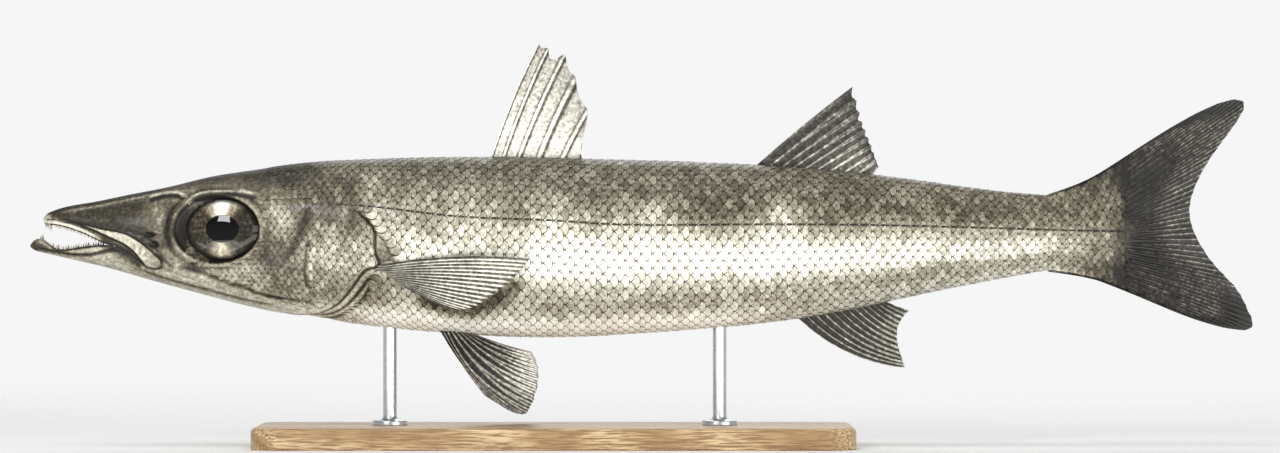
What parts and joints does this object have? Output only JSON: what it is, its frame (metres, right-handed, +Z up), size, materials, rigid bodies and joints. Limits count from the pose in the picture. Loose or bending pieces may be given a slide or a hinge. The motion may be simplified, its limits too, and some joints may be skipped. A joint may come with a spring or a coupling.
{
  "type": "barracuda",
  "caption": "Still life-size barracuda with its mouth a little open and its fins spread, held level on short rods over a flat rectangular base.",
  "frame": {"origin": "On the underside of the base, below the middle of the fish's length and in its middle plane.", "axes": "+X runs from the head to the tail, +Y to the fish's right side, and +Z is up."},
  "size_m": [0.4498, 0.092, 0.1483],
  "materials": {
    "silver_skin": "wet silvery scales, dark olive above and white below",
    "eye": "glossy",
    "clear_fin": "pale thin membrane with paler rays",
    "dark_fin": "dusky thin membrane with paler rays",
    "oiled_oak": "oiled",
    "brushed_steel": "brushed"
  },
  "bodies": {
    "root": {"upper_jaw": "silver_skin", "lower_jaw": "silver_skin", "head": "silver_skin", "gill_cover_left": "silver_skin", "gill_cover_right": "silver_skin", "fore_trunk": "silver_skin", "trunk": "silver_skin", "tail_stalk": "silver_skin", "eye_left": "eye", "eye_right": "eye", "first_dorsal_fin": "clear_fin", "pectoral_fin_left": "clear_fin", "pectoral_fin_right": "clear_fin", "second_dorsal_fin": "dark_fin", "anal_fin": "dark_fin", "tail_fin": "dark_fin", "pelvic_fin_left": "dark_fin", "pelvic_fin_right": "dark_fin", "stand_base": "oiled_oak", "stand_rod_front": "brushed_steel", "stand_rod_back": "brushed_steel"}
  },
  "joints": []
}
